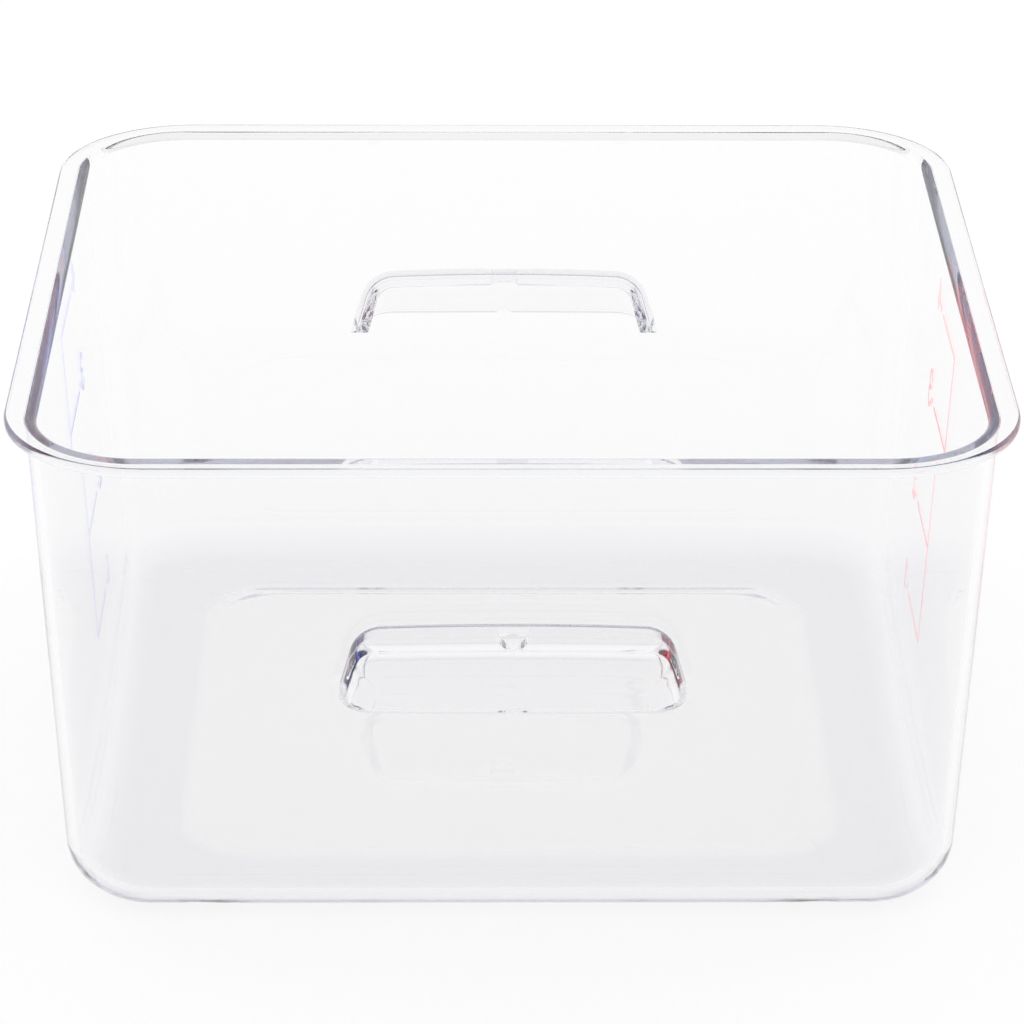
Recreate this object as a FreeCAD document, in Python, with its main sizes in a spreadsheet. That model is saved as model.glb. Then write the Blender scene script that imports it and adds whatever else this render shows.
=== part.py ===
import FreeCAD, Part
import math
import os
import Sketcher
from FreeCAD import Placement, Rotation, Vector

# Square clear food pan of four quarts: one moulded shell with two hooded finger grips, and a printed
# fill scale on each side wall. Millimetres, +Z up, X across the scales, Y through the grips, and the
# origin at the middle of the underside.

SIZES = [
    # overall
    ("rim_width", 222.25, "rim, outside, along X"),
    ("rim_depth", 211.1, "rim, outside, along Y"),
    ("pan_height", 117.0, "underside to top of rim"),
    ("draft_angle", 2.72, "lean of every wall, degrees"),
    # shell
    ("wall_thickness", 2.5, "level thickness of the walls"),
    ("floor_thickness", 3.0, "floor at its outer ring"),
    ("wall_corner_radius", 26.0, "outside corner at the top of the wall"),
    ("floor_edge_radius", 12.3, "outside round from wall to floor"),
    ("panel_half_width", 75.5, "raised middle of the floor, along X"),
    ("panel_half_depth", 68.7, "raised middle of the floor, along Y"),
    ("panel_corner_radius", 17.0, "corner of the raised middle"),
    ("panel_rise", 0.6, "step up on the inside"),
    ("panel_recess", 1.0, "hollow under the middle of the floor"),
    # rim
    ("rim_overhang", 4.7, "flange beyond the top of the wall"),
    ("rim_thickness", 2.3, "flange"),
    ("rim_corner_radius", 32.3, "outside corner of the flange"),
    ("rim_edge_radius", 0.95, "both outer edges of the flange"),
    ("lip_radius", 1.8, "inner edge of the rim"),
    # hooded grip
    ("grip_edge_height", 62.4, "free lower edge above the underside"),
    ("grip_roof_height", 77.0, "roof where it meets the wall"),
    ("grip_roof_slope", 10.0, "fall of the roof, degrees"),
    ("grip_reach_low", 15.5, "lower edge out from the wall there"),
    ("grip_taper", 15.5, "lean of the hood's face and ends, degrees"),
    ("grip_half_low", 37.8, "half length at the lower edge"),
    ("grip_corner_low", 9.0, "plan corner at the lower edge"),
    ("grip_thickness", 2.6, "hood wall"),
    ("grip_bend_radius", 3.4, "outside bend from roof to face"),
    ("grip_inside_bend", 1.32, "inside bend from roof to face"),
    ("grip_root_radius", 1.0, "fillet where the hood meets the wall"),
    ("drain_width", 6.8, "drain hole in the roof"),
    ("drain_setback", 2.4, "drain hole's straight side, off the wall"),
    ("drain_reach", 7.6, "drain hole's round end, off the wall at the hood's edge"),
    ("notch_width", 3.5, "notch in the middle of the lower edge"),
    ("notch_depth", 0.6, "notch up into the lower edge"),
    # printed scales
    ("ink_thickness", 0.12, "film of ink"),
    ("scale_start", -14.0, "stem's middle, along the wall from its centre line"),
    ("tick_length", 26.0, "stem's middle to the end of a line"),
    ("line_width", 0.9, "lines of the scale"),
    ("dot_gap", 4.2, "end of a line to the middle of its dot"),
    ("dot_radius", 0.8, "dot before each numeral"),
    ("numeral_gap", 7.0, "end of a line to its numeral"),
    ("numeral_width", 4.4, "stroke middles, across"),
    ("numeral_tall", 7.2, "stroke middles, upwards"),
    ("numeral_lift", 1.2, "numeral's middle above its line"),
    ("stroke_width", 1.15, "pen of the numerals"),
]

QUART = 946352.9  # cubic millimetres
LITRE = 1.0e6

# How near counts as the same, when edges are picked out for a fillet.
SAME_LEVEL = 0.01
SAME_FACE = 0.05
CLEAR_OF = 1.0

# Numerals as strokes on a cell one wide and two tall. Two points are a straight stroke, and three are
# an arc through the middle one.
STROKES = {
    1: [[(0.15, 1.6), (0.55, 2.0)], [(0.55, 2.0), (0.55, 0.0)]],
    2: [[(0.0, 1.5), (0.5, 2.0), (1.0, 1.5)], [(1.0, 1.5), (0.0, 0.0)], [(0.0, 0.0), (1.0, 0.0)]],
    3: [[(0.0, 1.8), (0.93, 1.52), (0.35, 1.08)], [(0.35, 1.08), (1.0, 0.52), (0.0, 0.2)]],
    4: [[(0.75, 0.0), (0.75, 2.0)], [(0.75, 2.0), (0.0, 0.65)], [(0.0, 0.65), (1.0, 0.65)]],
    5: [[(0.95, 2.0), (0.1, 2.0)], [(0.1, 2.0), (0.05, 1.15)], [(0.05, 1.15), (1.0, 0.6), (0.0, 0.2)]],
    6: [[(0.85, 2.0), (0.2, 1.35), (0.0, 0.55)], [(0.0, 0.55), (0.5, 1.1), (1.0, 0.55)],
        [(1.0, 0.55), (0.5, 0.0), (0.0, 0.55)]],
    7: [[(0.0, 2.0), (1.0, 2.0)], [(1.0, 2.0), (0.35, 0.0)]],
    8: [[(0.05, 1.55), (0.5, 2.0), (0.95, 1.55)], [(0.95, 1.55), (0.5, 1.1), (0.05, 1.55)],
        [(0.0, 0.55), (0.5, 1.1), (1.0, 0.55)], [(1.0, 0.55), (0.5, 0.0), (0.0, 0.55)]],
    9: [[(0.0, 1.45), (0.5, 0.9), (1.0, 1.45)], [(1.0, 1.45), (0.5, 2.0), (0.0, 1.45)],
        [(1.0, 1.45), (0.8, 0.65), (0.15, 0.0)]],
}

doc = FreeCAD.newDocument("food_pan")
sheet = doc.addObject("Spreadsheet::Sheet", "Sizes")
for row, (alias, value, note) in enumerate(SIZES, start=1):
    sheet.set(f"A{row}", alias)
    sheet.set(f"B{row}", str(value))
    sheet.setAlias(f"B{row}", alias)
    sheet.set(f"C{row}", note)
doc.recompute()


def size(alias):
    """A cell's value, for what is worked out in code."""
    return float(getattr(sheet, alias))


def bind(thing, path, formula):
    """Binds one property to the sheet. A formula puts an at sign before the name of each cell."""
    thing.setExpression(path, formula.replace("@", "Sizes."))


def lean():
    """How far a wall moves out for each millimetre of height."""
    return math.tan(math.radians(size("draft_angle")))


def half_width(height, of="rim_width"):
    """The side wall's outer face at a height, from the middle, or its corner's radius there."""
    top = size(of) if of == "wall_corner_radius" else size(of) / 2 - size("rim_overhang")
    return top - lean() * (size("pan_height") - height)


def half_depth(height):
    """The front wall's outer face at a height, from the middle."""
    return half_width(height, "rim_depth")


def up_wall(height):
    """A height, measured up the leaning wall."""
    return height / math.cos(math.radians(size("draft_angle")))


def roof_height(inset):
    """The height at which a grip's roof, or that of the hollow in it, meets the wall."""
    return size("grip_roof_height") - inset / math.cos(math.radians(size("grip_roof_slope")))


# The wall's outer face at a height: its distance from the middle, as a formula.
LEAN = "tan(@draft_angle * 1 deg)"
HALF_WIDTH_AT = "(@rim_width / 2 - @rim_overhang - " + LEAN + " * (@pan_height - {z}))"
HALF_DEPTH_AT = "(@rim_depth / 2 - @rim_overhang - " + LEAN + " * (@pan_height - {z}))"
RADIUS_AT = "(@wall_corner_radius - " + LEAN + " * (@pan_height - {z}))"


def new_body(name):
    body = doc.addObject("PartDesign::Body", name)
    body.Label = name
    body.AllowCompound = True
    return body


def level_sketch(body, name, height):
    """An empty sketch on the body's XY plane, raised to a height given as a formula."""
    sketch = body.newObject("Sketcher::SketchObject", name)
    plane = [f for f in body.Origin.OriginFeatures if f.Role == "XY_Plane"][0]
    sketch.AttachmentSupport = [(plane, "")]
    sketch.MapMode = "FlatFace"
    bind(sketch, ".AttachmentOffset.Base.z", height)
    return sketch


def fix_size(sketch, constraint, name, formula):
    """Adds a named dimension and binds it to the sheet."""
    sketch.addConstraint(constraint)
    index = sketch.ConstraintCount - 1
    sketch.renameConstraint(index, name)
    bind(sketch, f"Constraints.{name}", formula)


def rounded_rectangle(body, name, height, half_x, half_y, radius):
    """A rectangle with round corners, centred on the sketch's origin. The sizes are formulas, and the
    numbers only start the sketch off in the right order."""
    sketch = level_sketch(body, name, height)
    a, b, r = 80.0, 70.0, 15.0
    lines = [((r - a, b), (a - r, b)), ((a, b - r), (a, r - b)),
             ((a - r, -b), (r - a, -b)), ((-a, r - b), (-a, b - r))]
    for start, end in lines:
        sketch.addGeometry(Part.LineSegment(Vector(*start, 0), Vector(*end, 0)), False)
    centres = [(a - r, b - r), (a - r, r - b), (r - a, r - b), (r - a, b - r)]
    for turn, centre in enumerate(centres):
        circle = Part.Circle(Vector(*centre, 0), Vector(0, 0, 1), r)
        start = math.radians(-90 * turn)
        sketch.addGeometry(Part.ArcOfCircle(circle, start, start + math.pi / 2), False)
    for corner in range(4):
        arc = 4 + corner
        sketch.addConstraint(Sketcher.Constraint("Tangent", corner, 2, arc, 2))
        sketch.addConstraint(Sketcher.Constraint("Tangent", arc, 1, (corner + 1) % 4, 1))
    sketch.addConstraint(Sketcher.Constraint("Horizontal", 2))
    sketch.addConstraint(Sketcher.Constraint("Vertical", 3))
    for arc in (5, 6, 7):
        sketch.addConstraint(Sketcher.Constraint("Equal", 4, arc))
    sketch.addConstraint(Sketcher.Constraint("Symmetric", 0, 1, 0, 2, -2))
    sketch.addConstraint(Sketcher.Constraint("Symmetric", 1, 1, 1, 2, -1))
    fix_size(sketch, Sketcher.Constraint("DistanceX", -1, 1, 1, 1, a), "half_x", half_x)
    fix_size(sketch, Sketcher.Constraint("DistanceY", -1, 1, 0, 1, b), "half_y", half_y)
    fix_size(sketch, Sketcher.Constraint("Radius", 4, r), "corner", radius)
    return sketch


def grip_section(body, name, height, half_length, reach, corner):
    """A level outline that runs from inside the wall out to the grip's face, with two round corners. The
    numbers only start the sketch off in the right order."""
    sketch = level_sketch(body, name, height)
    a, b, r, back = 35.0, 14.0, 5.0, 8.0
    points = [(-a, back), (a, back), (a, r - b), (a - r, -b), (r - a, -b), (-a, r - b)]
    for start, end in ((0, 1), (1, 2), (3, 4), (5, 0)):
        ends = [Vector(*points[i], 0) for i in (start, end)]
        sketch.addGeometry(Part.LineSegment(*ends), False)
    for centre, turn in (((a - r, r - b), -90), ((r - a, r - b), -180)):
        circle = Part.Circle(Vector(*centre, 0), Vector(0, 0, 1), r)
        start = math.radians(turn)
        sketch.addGeometry(Part.ArcOfCircle(circle, start, start + math.pi / 2), False)
    sketch.addConstraint(Sketcher.Constraint("Coincident", 0, 2, 1, 1))
    sketch.addConstraint(Sketcher.Constraint("Coincident", 3, 2, 0, 1))
    sketch.addConstraint(Sketcher.Constraint("Tangent", 1, 2, 4, 2))
    sketch.addConstraint(Sketcher.Constraint("Tangent", 4, 1, 2, 1))
    sketch.addConstraint(Sketcher.Constraint("Tangent", 2, 2, 5, 2))
    sketch.addConstraint(Sketcher.Constraint("Tangent", 5, 1, 3, 1))
    sketch.addConstraint(Sketcher.Constraint("Horizontal", 2))
    sketch.addConstraint(Sketcher.Constraint("Vertical", 1))
    sketch.addConstraint(Sketcher.Constraint("Vertical", 3))
    sketch.addConstraint(Sketcher.Constraint("Equal", 4, 5))
    sketch.addConstraint(Sketcher.Constraint("Symmetric", 0, 1, 0, 2, -2))
    fix_size(sketch, Sketcher.Constraint("DistanceX", -1, 1, 0, 2, a), "half_length", half_length)
    fix_size(sketch, Sketcher.Constraint("DistanceY", -1, 1, 0, 2, back), "root", "@wall_thickness * 3")
    fix_size(sketch, Sketcher.Constraint("DistanceY", 2, 1, -1, 1, b), "reach", reach)
    fix_size(sketch, Sketcher.Constraint("Radius", 4, r), "corner", corner)
    return sketch


def pad(body, sketch, name, length, taper="0"):
    feature = body.newObject("PartDesign::Pad", name)
    feature.Profile = sketch
    bind(feature, "Length", length)
    bind(feature, "TaperAngle", taper)
    return feature


def pocket_up(body, sketch, name, length):
    """A pocket cut upwards from the sketch. It must take something away."""
    doc.recompute()
    before = body.Shape.Volume
    feature = body.newObject("PartDesign::Pocket", name)
    feature.Profile = sketch
    feature.Reversed = True
    bind(feature, "Length", length)
    doc.recompute()
    if not body.Shape.Volume < before:
        raise RuntimeError(f"{name} cuts nothing")
    return feature


def round_edges(body, name, radius, wanted):
    """A fillet on the edges of the body's tip that a test picks out."""
    doc.recompute()
    base = body.Tip
    names = [f"Edge{i}" for i, edge in enumerate(base.Shape.Edges, start=1) if wanted(edge)]
    if not names:
        raise RuntimeError(f"{name} finds no edge")
    feature = body.newObject("PartDesign::Fillet", name)
    feature.Base = (base, names)
    bind(feature, "Radius", radius)
    doc.recompute()
    return feature


def level_at(edge, height):
    """True for an edge that lies level at a height."""
    box = edge.BoundBox
    return abs(box.ZMin - height) < SAME_LEVEL and abs(box.ZMax - height) < SAME_LEVEL


def middle_of(edge):
    return edge.valueAt((edge.FirstParameter + edge.LastParameter) / 2)


# --- the shell's outside: a leaning block with a flange round its top -------------------------------

def make_outer_form():
    body = new_body("outer_form")
    half_x, half_y, corner_radius = (part.format(z=0) for part in (HALF_WIDTH_AT, HALF_DEPTH_AT, RADIUS_AT))
    foot = rounded_rectangle(body, "wall_outline", "0", half_x, half_y, corner_radius)
    pad(body, foot, "leaning_block", "@pan_height", "@draft_angle")
    round_edges(body, "floor_edge_round", "@floor_edge_radius", lambda edge: level_at(edge, 0.0))
    flange = rounded_rectangle(body, "flange_outline", "@pan_height - @rim_thickness", "@rim_width / 2",
                               "@rim_depth / 2", "@rim_corner_radius")
    pad(body, flange, "rim_flange", "@rim_thickness")
    flange_heights = (size("pan_height"), size("pan_height") - size("rim_thickness"))
    over_wall = size("rim_overhang") / 2
    half_x, half_y = size("rim_width") / 2 - over_wall, size("rim_depth") / 2 - over_wall

    def on_flange_edge(edge):
        middle = middle_of(edge)
        outside = abs(middle.x) > half_x or abs(middle.y) > half_y
        corner = edge.Curve.TypeId == "Part::GeomCircle"
        corner = corner and edge.Curve.Radius > size("wall_corner_radius") + CLEAR_OF
        return any(level_at(edge, z) for z in flange_heights) and (outside or corner)

    round_edges(body, "flange_edge_round", "@rim_edge_radius", on_flange_edge)
    hollow = rounded_rectangle(body, "recess_outline", "0", "@panel_half_width", "@panel_half_depth",
                               "@panel_corner_radius")
    pocket_up(body, hollow, "underside_recess", "@panel_recess")
    return body


# --- the shell's inside: the same block, one wall smaller -------------------------------------------

def make_core_form():
    body = new_body("core_form")
    floor = "@floor_thickness"
    outside = (part.format(z=floor) for part in (HALF_WIDTH_AT, HALF_DEPTH_AT, RADIUS_AT))
    half_x, half_y, corner_radius = (part + " - @wall_thickness" for part in outside)
    outline = rounded_rectangle(body, "inside_outline", floor, half_x, half_y, corner_radius)
    pad(body, outline, "leaning_core", "@pan_height", "@draft_angle")
    floor_height = size("floor_thickness")
    round_edges(body, "inside_floor_round", "@floor_edge_radius - @wall_thickness",
                lambda edge: level_at(edge, floor_height))
    step = rounded_rectangle(body, "panel_outline", floor, "@panel_half_width", "@panel_half_depth",
                             "@panel_corner_radius")
    pocket_up(body, step, "panel_step", "@panel_rise")
    return body


# --- a hooded grip: a small tapered hood, hollow and open below -------------------------------------

def roof_sketch(body, name, roof):
    """What lies above a grip's sloping roof, seen from the side: X here runs along the object's Y. The
    numbers only start the sketch off in the right order."""
    sketch = body.newObject("Sketcher::SketchObject", name)
    plane = [f for f in body.Origin.OriginFeatures if f.Role == "YZ_Plane"][0]
    sketch.AttachmentSupport = [(plane, "")]
    sketch.MapMode = "FlatFace"
    wall, top, far, near = -98.0, 77.0, -130.0, -90.0
    rise, fall, above = 1.4, 5.6, 40.0
    points = [(near, top + rise), (far, top - fall), (far, top + above), (near, top + above)]
    for corner in range(4):
        ends = [Vector(*points[corner], 0), Vector(*points[(corner + 1) % 4], 0)]
        sketch.addGeometry(Part.LineSegment(*ends), False)
    sketch.addGeometry(Part.Point(Vector(wall, top, 0)), True)
    for corner in range(4):
        sketch.addConstraint(Sketcher.Constraint("Coincident", corner, 2, (corner + 1) % 4, 1))
    sketch.addConstraint(Sketcher.Constraint("Vertical", 1))
    sketch.addConstraint(Sketcher.Constraint("Horizontal", 2))
    sketch.addConstraint(Sketcher.Constraint("Vertical", 3))
    sketch.addConstraint(Sketcher.Constraint("PointOnObject", 4, 1, 0))
    at_edge = HALF_DEPTH_AT.format(z="@grip_edge_height")
    fix_size(sketch, Sketcher.Constraint("DistanceX", 4, 1, -1, 1, -wall), "wall", at_edge)
    fix_size(sketch, Sketcher.Constraint("DistanceY", -1, 1, 4, 1, top), "roof", roof)
    inward = Sketcher.Constraint("DistanceX", 4, 1, 0, 1, near - wall)
    outward = Sketcher.Constraint("DistanceX", 1, 1, 4, 1, wall - far)
    fix_size(sketch, inward, "inward", "@wall_thickness * 4")
    fix_size(sketch, outward, "outward", "@grip_reach_low * 2")
    fix_size(sketch, Sketcher.Constraint("DistanceY", 4, 1, 2, 1, above), "above", "@pan_height")
    fix_size(sketch, Sketcher.Constraint("DistanceY", 1, 1, 4, 1, fall), "fall",
             "@grip_reach_low * 2 * tan(@grip_roof_slope * 1 deg)")
    return sketch


def roof_bend_test(body, inset):
    """A test for the roof's edges, without the one buried in the wall: they lie in the roof's plane."""
    wall = -half_depth(size("grip_edge_height"))
    rise = math.tan(math.radians(size("grip_roof_slope")))
    above_edge = size("grip_edge_height") + CLEAR_OF
    buried = max(vertex.Y for vertex in body.Shape.Vertexes if vertex.Z > above_edge)

    def on_bend(edge):
        points = (middle_of(edge), edge.valueAt(edge.FirstParameter))
        over = [point.z - roof_height(inset) - (point.y - wall) * rise for point in points]
        box = edge.BoundBox
        at_back = abs(box.YMin - buried) < SAME_LEVEL and abs(box.YMax - buried) < SAME_LEVEL
        return all(abs(gap) < SAME_FACE for gap in over) and not at_back

    return on_bend


def grip_form(name, inset, bend):
    """A solid hood, or the hollow inside it, which is smaller by the inset: a tapered block under a
    sloping roof."""
    body = new_body(name)
    edge = "@grip_edge_height"
    block_height = "@grip_roof_height - @grip_edge_height + @wall_thickness * 2"
    sizes = (f"{full} - {inset}" for full in ("@grip_half_low", "@grip_reach_low", "@grip_corner_low"))
    outline = grip_section(body, name + "_outline", edge, *sizes)
    bind(outline, ".AttachmentOffset.Base.y", "-" + HALF_DEPTH_AT.format(z=edge))
    pad(body, outline, name + "_block", block_height, "-@grip_taper")
    roof = f"@grip_roof_height - {inset} / cos(@grip_roof_slope * 1 deg)"
    above = roof_sketch(body, name + "_above", roof)
    doc.recompute()
    before = body.Shape.Volume
    cut = body.newObject("PartDesign::Pocket", name + "_roof")
    cut.Profile = above
    cut.Midplane = True
    bind(cut, "Length", "@grip_half_low * 3")
    doc.recompute()
    if not body.Shape.Volume < before:
        raise RuntimeError(f"{name}_roof cuts nothing")
    inset_size = size(inset[1:]) if inset.startswith("@") else 0.0
    round_edges(body, name + "_bend", bend, roof_bend_test(body, inset_size))
    return body


def make_grip():
    outside = grip_form("grip_outside", "0", "@grip_bend_radius")
    inside = grip_form("grip_inside", "@grip_thickness", "@grip_inside_bend")
    middle = HALF_DEPTH_AT.format(z="@grip_edge_height")
    drain_from = HALF_DEPTH_AT.format(z="@grip_roof_height") + " + @drain_setback"
    round_from = middle + " + @drain_reach - @drain_width / 2"
    slot = doc.addObject("Part::Box", "drain_slot")
    bind(slot, "Length", "@drain_width")
    bind(slot, "Width", f"{round_from} - ({drain_from})")
    bind(slot, "Height", "@pan_height")
    bind(slot, ".Placement.Base.x", "-@drain_width / 2")
    bind(slot, ".Placement.Base.y", f"-({round_from})")
    end = doc.addObject("Part::Cylinder", "drain_end")
    end.Angle = 180
    end.Placement = Placement(Vector(), Rotation(180, 0, 0))
    bind(end, "Radius", "@drain_width / 2")
    bind(end, "Height", "@pan_height")
    bind(end, ".Placement.Base.y", f"-({round_from})")
    notch = doc.addObject("Part::Box", "edge_notch")
    bind(notch, "Length", "@notch_width")
    bind(notch, "Width", "@grip_thickness * 3")
    bind(notch, "Height", "@notch_depth * 2")
    bind(notch, ".Placement.Base.x", "-@notch_width / 2")
    bind(notch, ".Placement.Base.y", "-(" + middle + " + @grip_reach_low + @grip_thickness)")
    bind(notch, ".Placement.Base.z", "@grip_edge_height - @notch_depth")
    tools = doc.addObject("Part::MultiFuse", "grip_hollows")
    tools.Shapes = [inside, slot, end, notch]
    grip = doc.addObject("Part::Cut", "grip_front")
    grip.Base = outside
    grip.Tool = tools
    other = doc.addObject("Part::Mirroring", "grip_back")
    other.Source = grip
    other.Normal = Vector(0, 1, 0)
    return grip, other


def make_pan():
    """The whole moulding: the outside and both grips in one block, less the core, with its edges eased."""
    outer = make_outer_form()
    core = make_core_form()
    grips = make_grip()
    block = doc.addObject("Part::MultiFuse", "pan_block")
    block.Shapes = [outer, *grips]
    shell = doc.addObject("Part::Cut", "pan_shell")
    shell.Base = block
    shell.Tool = core
    doc.recompute()
    body = new_body("pan_body")
    body.BaseFeature = shell
    top = size("pan_height")
    inside = (size("rim_width") / 2 - size("rim_overhang"), size("rim_depth") / 2 - size("rim_overhang"))

    def on_lip(edge):
        box = edge.BoundBox
        within = max(-box.XMin, box.XMax) < inside[0] and max(-box.YMin, box.YMax) < inside[1]
        return level_at(edge, top) and within

    round_edges(body, "lip_round", "@lip_radius", on_lip)
    low = size("grip_edge_height")
    leg_from = size("grip_half_low") - size("grip_corner_low")

    def on_root(edge):
        """Where a hood's outside leaves the wall: along its roof and down its legs."""
        middle = middle_of(edge)
        on_wall = abs(abs(middle.y) - half_depth(middle.z)) < SAME_FACE
        on_roof = middle.z > roof_height(CLEAR_OF / 2)
        on_leg = abs(middle.x) > leg_from and middle.z > low + CLEAR_OF
        under_rim = middle.z < top - size("rim_thickness") * 2
        return on_wall and under_rim and (on_roof or on_leg)

    round_edges(body, "grip_root_round", "@grip_root_radius", on_root)
    return body


# --- printed scales ---------------------------------------------------------------------------------

def inside_area(height):
    """The opening of the shell at a height: a rectangle with round corners, smaller in the floor round."""
    round_radius = size("floor_edge_radius") - size("wall_thickness")
    below = max(0.0, size("floor_thickness") + round_radius - height)
    inset = size("wall_thickness") + round_radius - math.sqrt(round_radius ** 2 - below ** 2)
    corner = max(0.0, half_width(height, "wall_corner_radius") - inset)
    sides = 4 * (half_width(height) - inset) * (half_depth(height) - inset)
    return sides - (4 - math.pi) * corner ** 2


def fill_levels(unit):
    """The heights that whole units fill to, by adding up thin slices, as far as there is wall to print
    on."""
    slice_height = 0.05
    height = size("floor_thickness")
    held = -4 * size("panel_half_width") * size("panel_half_depth") * size("panel_rise")
    numeral_top = size("numeral_lift") + size("numeral_tall") / 2 + size("stroke_width")
    highest = size("pan_height") - size("rim_thickness") - numeral_top
    levels = []
    while height < highest and len(levels) < len(STROKES):
        held += inside_area(height + slice_height / 2) * slice_height
        height += slice_height
        if held >= unit * (len(levels) + 1):
            levels.append(height)
    return levels


def wall_placement(side):
    """Stands a print's XY plane on a side wall's outer face: X along the wall, Y up it, and Z outwards."""
    foot = Vector(side * half_width(0.0), 0, 0)
    return Placement(foot, Rotation(90 * side, 0, 90 + size("draft_angle")))


def print_body(name, side):
    body = new_body(name)
    body.Placement = wall_placement(side)
    return body


def add_bar(sketch, left, right, low, high):
    """Adds a rectangle to a sketch, with each side bound to the sheet."""
    first = sketch.GeometryCount
    corners = [(-1, -1), (1, -1), (1, 1), (-1, 1)]
    for corner in range(4):
        ends = [Vector(*corners[corner], 0), Vector(*corners[(corner + 1) % 4], 0)]
        sketch.addGeometry(Part.LineSegment(*ends), False)
    for corner in range(4):
        following = first + (corner + 1) % 4
        sketch.addConstraint(Sketcher.Constraint("Coincident", first + corner, 2, following, 1))
    for line, way in enumerate(("Horizontal", "Vertical", "Horizontal", "Vertical")):
        sketch.addConstraint(Sketcher.Constraint(way, first + line))
    sides = (("DistanceX", 0, left, "left"), ("DistanceX", 2, right, "right"),
             ("DistanceY", 0, low, "low"), ("DistanceY", 2, high, "high"))
    for way, line, formula, side in sides:
        start = corners[line][0 if way == "DistanceX" else 1]
        fix_size(sketch, Sketcher.Constraint(way, -1, 1, first + line, 1, start), f"{side}_{first}", formula)


def pen_outline(points, half_pen):
    """The outline of one pen stroke with round ends: a straight one by hand, and an arc by an offset."""
    if len(points) == 3:
        return Part.Wire([Part.Arc(*points).toShape()]).makeOffset2D(half_pen)
    start, end = points
    along = (end - start).normalize() * half_pen
    across = Vector(-along.y, along.x, 0)
    edges = [Part.LineSegment(start + across, end + across),
             Part.Arc(end + across, end + along, end - across),
             Part.LineSegment(end - across, start - across),
             Part.Arc(start - across, start - along, start + across)]
    return Part.Wire([edge.toShape() for edge in edges])


def make_numerals(name, side, levels):
    """The numerals are pen strokes with round ends, each figure fused into one film of ink."""
    wide, half_tall = size("numeral_width"), size("numeral_tall") / 2
    gap = size("scale_start") + size("tick_length") + size("numeral_gap")
    left = gap if side > 0 else -gap - wide
    figures = []
    for figure, level in enumerate(levels, start=1):
        foot = up_wall(level) + size("numeral_lift") - half_tall
        films = []
        for stroke in STROKES[figure]:
            points = [Vector(left + x * wide, foot + y * half_tall, 0) for x, y in stroke]
            outline = pen_outline(points, size("stroke_width") / 2)
            films.append(Part.Face(outline).extrude(Vector(0, 0, size("ink_thickness"))))
        figures.append(films[0].multiFuse(films[1:]).removeSplitter())
    piece = doc.addObject("Part::Feature", name)
    piece.Label = name
    piece.Shape = Part.makeCompound([solid for figure in figures for solid in figure.Solids])
    piece.Placement = wall_placement(side)
    return piece


def make_scale(unit_name, unit, side):
    """One printed scale: an upright stem, a line for each whole unit, a dot and a numeral. On each side
    wall the lines run from the stem towards the back grip."""
    levels = fill_levels(unit)
    for count, level in enumerate(levels, start=1):
        row = max(int(cell[1:]) for cell in sheet.getUsedCells()) + 1
        alias = f"{unit_name}_level_{count}"
        sheet.set(f"A{row}", alias)
        sheet.set(f"B{row}", str(round(up_wall(level), 3)))
        sheet.setAlias(f"B{row}", alias)
        sheet.set(f"C{row}", "height of a whole unit, measured up the wall")
    doc.recompute()
    names = [f"@{unit_name}_level_{count}" for count in range(1, len(levels) + 1)]
    way = "" if side > 0 else "-"
    stem_near = f"{way}(@scale_start - @line_width / 2)"
    stem_far = f"{way}(@scale_start + @line_width / 2)"
    line_end = f"{way}(@scale_start + @tick_length)"

    def bar(sketch, one, other, low, high):
        left, right = (one, other) if side > 0 else (other, one)
        add_bar(sketch, left, right, low, high)

    stem = print_body(f"{unit_name}_scale_stem", side)
    stem_outline = level_sketch(stem, f"{unit_name}_stem_outline", "0")
    bar(stem_outline, stem_near, stem_far, f"{names[0]} - @line_width / 2", f"{names[-1]} + @line_width / 2")
    pad(stem, stem_outline, f"{unit_name}_stem_film", "@ink_thickness")

    lines = print_body(f"{unit_name}_scale_lines", side)
    lines_outline = level_sketch(lines, f"{unit_name}_lines_outline", "0")
    for name in names:
        bar(lines_outline, stem_far, line_end, f"{name} - @line_width / 2", f"{name} + @line_width / 2")
    pad(lines, lines_outline, f"{unit_name}_lines_film", "@ink_thickness")

    dots = print_body(f"{unit_name}_scale_dots", side)
    dots_outline = level_sketch(dots, f"{unit_name}_dots_outline", "0")
    for index, name in enumerate(names):
        dots_outline.addGeometry(Part.Circle(Vector(0, 0, 0), Vector(0, 0, 1), 1.0), False)
        across = Sketcher.Constraint("DistanceX", -1, 1, index, 3, 1.0)
        fix_size(dots_outline, across, f"across_{index}", f"{way}(@scale_start + @tick_length + @dot_gap)")
        fix_size(dots_outline, Sketcher.Constraint("DistanceY", -1, 1, index, 3, 1.0), f"up_{index}", name)
        fix_size(dots_outline, Sketcher.Constraint("Radius", index, 1.0), f"radius_{index}", "@dot_radius")
    pad(dots, dots_outline, f"{unit_name}_dots_film", "@ink_thickness")
    return [stem, lines, dots, make_numerals(f"{unit_name}_scale_numerals", side, levels)]


parts = [make_pan()]
parts += make_scale("quart", QUART, 1)
parts += make_scale("litre", LITRE, -1)
doc.recompute()

for thing in doc.Objects:
    if "Invalid" in thing.State or "Error" in thing.State:
        raise RuntimeError(f"{thing.Name} failed: {thing.State}")
for piece in parts:
    if piece.Shape.isNull() or not piece.Shape.isValid():
        raise RuntimeError(f"{piece.Label} has no valid shape")

os.makedirs("parts", exist_ok=True)
for piece in parts:
    piece.Shape.exportStep(f"parts/{piece.Label}.step")
    print(f"{piece.Label}: {len(piece.Shape.Solids)} solids, {piece.Shape.Volume:.2f} mm3")
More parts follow.
